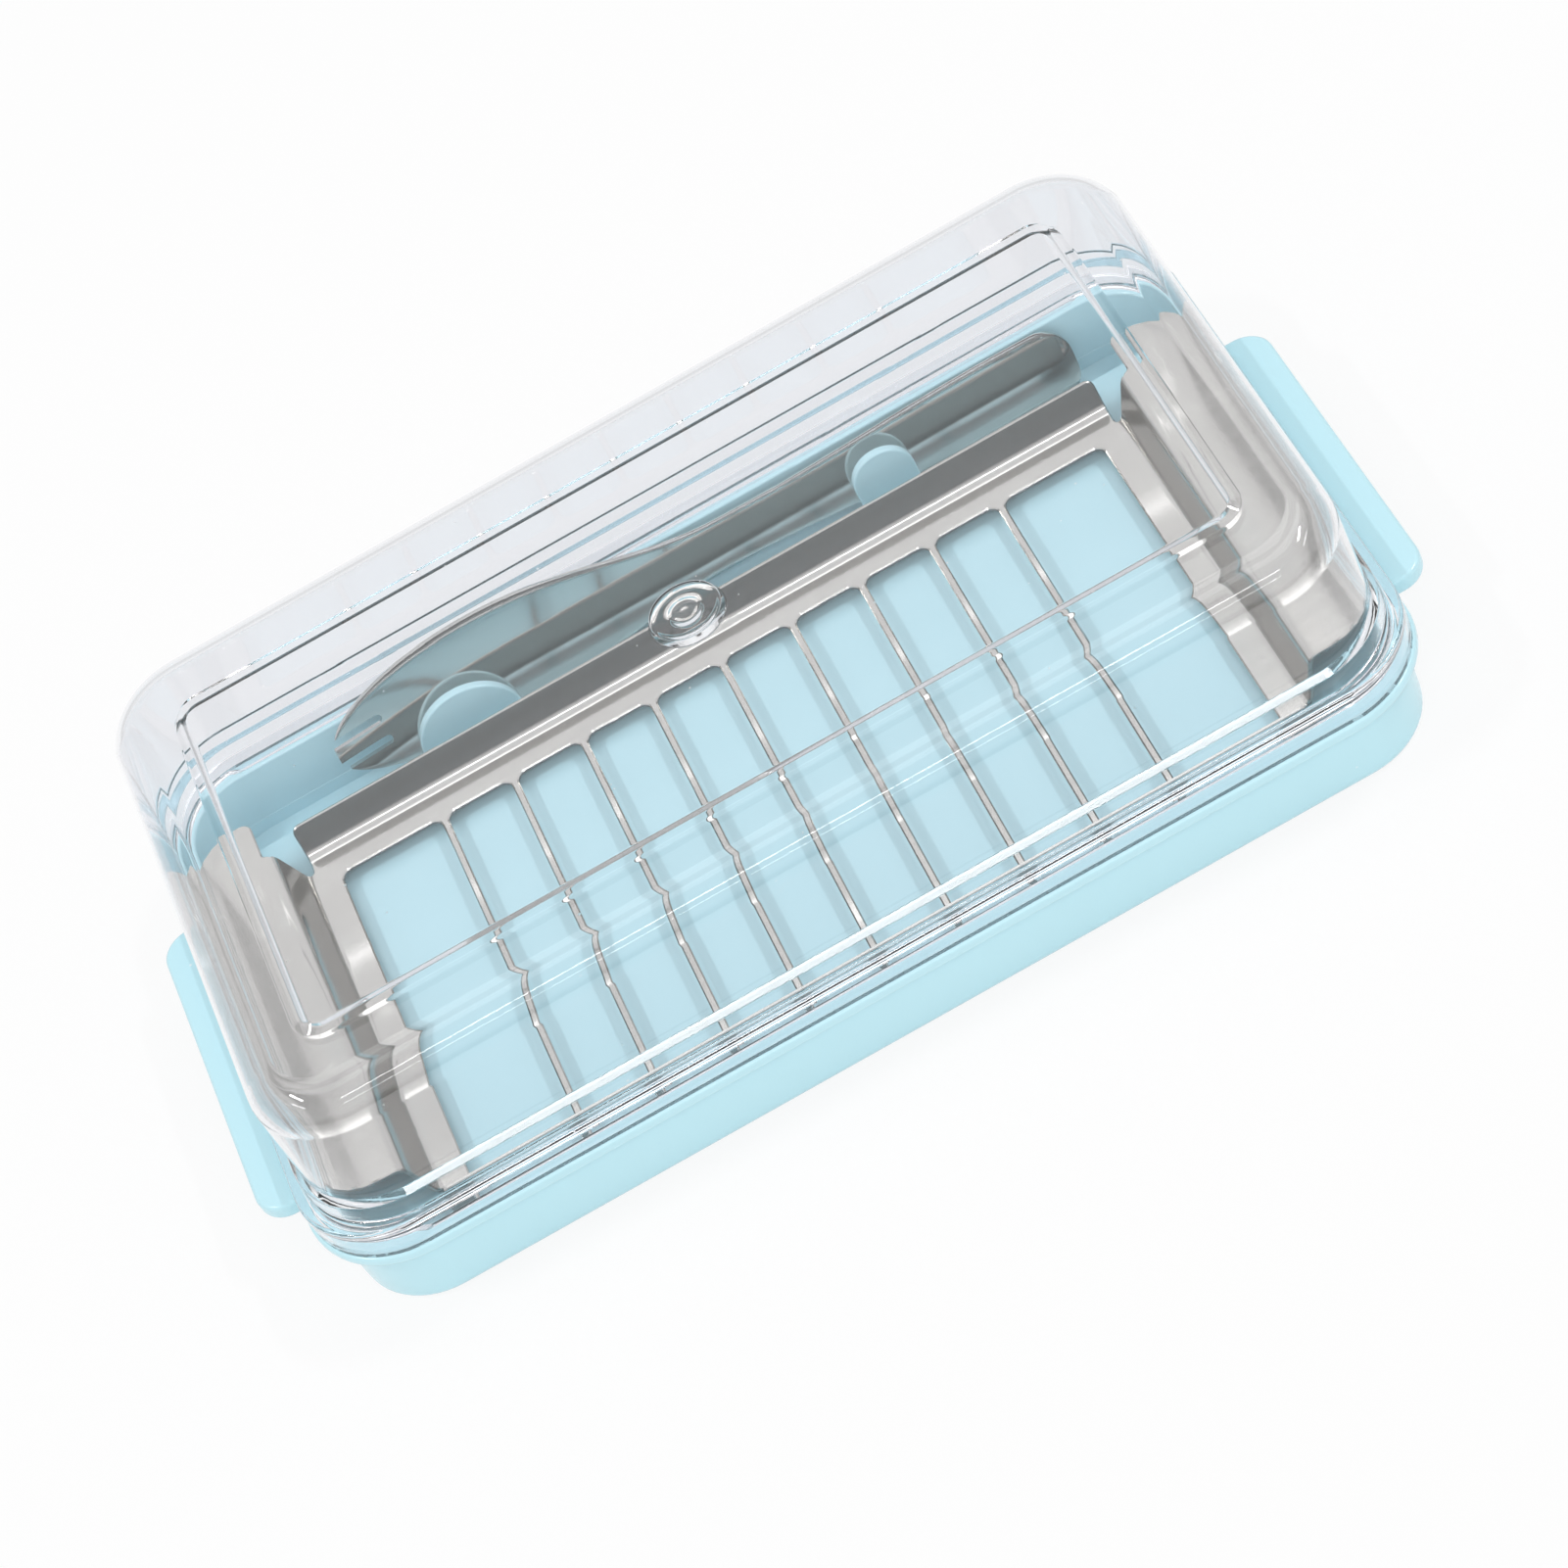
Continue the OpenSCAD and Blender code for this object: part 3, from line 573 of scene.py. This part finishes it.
clear_tree, place, worn = finish_of(lid, "clear moulded plastic")
rough = put(clear_tree, "ShaderNodeMath", operation="MULTIPLY_ADD", i_0=worn.outputs["Smudge"], i_1=0.015,
            i_2=0.01)
rougher = put(clear_tree, "ShaderNodeMath", operation="MULTIPLY_ADD", i_0=worn.outputs["Specks"], i_1=0.4,
              i_2=rough.outputs[0])
wave = put(clear_tree, "ShaderNodeTexNoise", i_0=place.outputs["Object"], i_2=60.0, i_3=1.0)
cuts = put(clear_tree, "ShaderNodeMath", operation="MULTIPLY_ADD", i_0=worn.outputs["Scratches"], i_1=-0.25,
           i_2=wave.outputs[0])
bump = put(clear_tree, "ShaderNodeBump", i_0=0.015, i_1=0.0001, i_3=cuts.outputs[0])
glassy = surface_of(clear_tree, {"Base Color": (0.915, 0.922, 0.942, 1), "Transmission Weight": 1.0,
                                 "IOR": 1.5, "Roughness": rougher, "Normal": bump})
through = put(clear_tree, "ShaderNodeBsdfTransparent", i_0=(0.985, 0.988, 0.995, 1))
path = put(clear_tree, "ShaderNodeLightPath")
dull = put(clear_tree, "ShaderNodeMath", operation="MAXIMUM", i_0=path.outputs["Is Shadow Ray"],
           i_1=path.outputs["Is Diffuse Ray"])
mixed = put(clear_tree, "ShaderNodeMixShader", i_0=dull.outputs[0], i_1=glassy.outputs[0],
            i_2=through.outputs[0])
put(clear_tree, "ShaderNodeOutputMaterial", i_0=mixed.outputs[0])
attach(lid, "lid")
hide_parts("lid")


# The studio: a white table that fades into a white room, narrow strip lights above the front and
# both ends, and a wide soft light above the rear. The camera is above the front at the photograph's
# angle, turned as the photograph is.
table = bmesh.new()
bmesh.ops.create_circle(table, cap_ends=True, radius=3.0, segments=64)
floor = shown(table, "table_top")
white = bpy.data.materials.new("white table")
white.use_nodes = True
table_tree = white.node_tree
table_tree.nodes.clear()
paint = put(table_tree, "ShaderNodeBsdfDiffuse", i_0=(0.86, 0.86, 0.86, 1))
glow = put(table_tree, "ShaderNodeEmission", i_0=(1, 1, 1, 1), i_1=1.0)
path = put(table_tree, "ShaderNodeLightPath")
sharp_rays = put(table_tree, "ShaderNodeMath", operation="MAXIMUM", i_0=path.outputs["Is Camera Ray"],
                 i_1=path.outputs["Is Glossy Ray"])
sharp_rays = put(table_tree, "ShaderNodeMath", operation="MAXIMUM", i_0=sharp_rays.outputs[0],
                 i_1=path.outputs["Is Transmission Ray"])
share = put(table_tree, "ShaderNodeMath", operation="MULTIPLY", i_0=sharp_rays.outputs[0], i_1=0.86)
mixed = put(table_tree, "ShaderNodeMixShader", i_0=share.outputs[0], i_1=paint.outputs[0],
            i_2=glow.outputs[0])
put(table_tree, "ShaderNodeOutputMaterial", i_0=mixed.outputs[0])
floor.data.materials.append(white)

pitch, yaw, roll, turned = radians(45), radians(1.82), radians(-1.35), radians(29.3)
ahead = Vector((-sin(yaw) * cos(pitch), cos(yaw) * cos(pitch), -sin(pitch)))
right = Vector((cos(yaw), sin(yaw), 0))
above = right.cross(ahead)
right, above = cos(roll) * right + sin(roll) * above, -sin(roll) * right + cos(roll) * above
right, above = cos(turned) * right - sin(turned) * above, sin(turned) * right + cos(turned) * above
lens = bpy.data.cameras.new("camera")
lens.sensor_width = 36.0
lens.sensor_fit = "HORIZONTAL"
lens.lens = 113.65
camera = bpy.data.objects.new("camera", lens)
bpy.context.scene.collection.objects.link(camera)
turned_to = Matrix((right, above, -ahead)).transposed().to_4x4()
camera.matrix_world = Matrix.Translation((0.01539, -0.49768, 0.50308)) @ turned_to
bpy.context.scene.camera = camera

room = bpy.data.worlds.new("white room")
room.use_nodes = True
room_tree = room.node_tree
room_tree.nodes.clear()
way = put(room_tree, "ShaderNodeTexCoord")
parted = put(room_tree, "ShaderNodeSeparateXYZ", i_0=way.outputs["Generated"])
# Mirrored and refracted rays see a band near the horizon that is dark in front and pale behind.
# Matt surfaces are lit more from the front.
murk = put(room_tree, "ShaderNodeMapRange", i_0=parted.outputs[1], i_1=-0.75, i_2=-0.1, i_3=0.08, i_4=0.8)
low = put(room_tree, "ShaderNodeMapRange", i_0=parted.outputs[2], i_1=sin(radians(8)), i_2=sin(radians(22)),
          i_3=murk.outputs[0], i_4=1.0)
even = put(room_tree, "ShaderNodeMapRange", i_0=parted.outputs[1], i_1=-0.2, i_2=-0.9, i_3=0.44, i_4=1.2)
path = put(room_tree, "ShaderNodeLightPath")
sharp_rays = put(room_tree, "ShaderNodeMath", operation="MAXIMUM", i_0=path.outputs["Is Glossy Ray"],
                 i_1=path.outputs["Is Transmission Ray"])
level = put(room_tree, "ShaderNodeMix", data_type="FLOAT", i_0=sharp_rays.outputs[0], i_2=even.outputs[0],
            i_3=low.outputs[0])
seen = put(room_tree, "ShaderNodeMath", operation="MAXIMUM", i_0=level.outputs[0],
           i_1=path.outputs["Is Camera Ray"])
sky = put(room_tree, "ShaderNodeBackground", i_0=(1, 1, 1, 1), i_1=seen.outputs[0])
put(room_tree, "ShaderNodeOutputWorld", i_0=sky.outputs[0])
bpy.context.scene.world = room

lamps = [("key light", (0.0, -0.7, 0.86), 0.6, 0.04, 1.3), ("rear light", (0.0, 0.5, 0.9), 0.7, 0.4, 1.2),
         ("left light", (-0.72, 0.02, 0.86), 0.3, 0.05, 2.6),
         ("right light", (0.72, 0.02, 0.86), 0.3, 0.05, 2.6)]
for name, spot, wide, deep, power in lamps:
    lamp = bpy.data.lights.new(name, "AREA")
    lamp.shape = "RECTANGLE"
    lamp.size, lamp.size_y = wide, deep
    lamp.energy = power
    hung = bpy.data.objects.new(name, lamp)
    hung.matrix_world = (Matrix.Translation(spot)
                         @ Vector(spot).to_track_quat("Z", "Y").to_matrix().to_4x4())
    bpy.context.scene.collection.objects.link(hung)
bpy.context.scene.view_settings.view_transform = "Standard"
